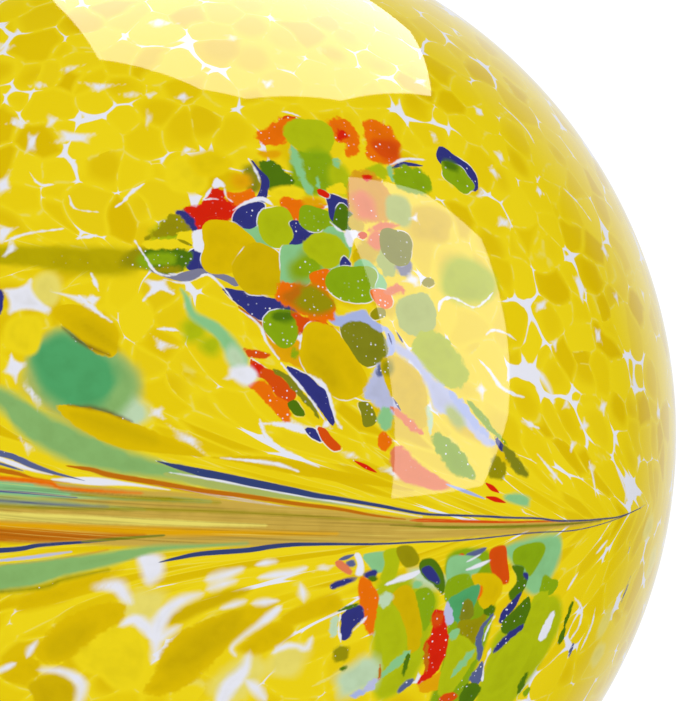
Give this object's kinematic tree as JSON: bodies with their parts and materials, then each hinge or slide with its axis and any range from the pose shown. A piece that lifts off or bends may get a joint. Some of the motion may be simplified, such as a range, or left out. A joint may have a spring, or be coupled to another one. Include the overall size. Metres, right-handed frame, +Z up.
{
  "type": "gazing ball",
  "caption": "Round ball of blown art glass, silvered inside, with melted-in colour chips and a dragged band, on a small flat spot.",
  "frame": {"origin": "centre of the flat spot that the ball rests on, at the foot of its upright axis", "axes": "+Z up through the ball's centre, -Y towards the side with the cluster of coloured chips, +X to the right of someone who looks at that side"},
  "size_m": [0.254, 0.254, 0.2523],
  "materials": {
    "art_glass": "fire-polished gloss over opaque and silvered coloured glass"
  },
  "bodies": {
    "root": {"glass_ball": "art_glass"}
  },
  "joints": []
}
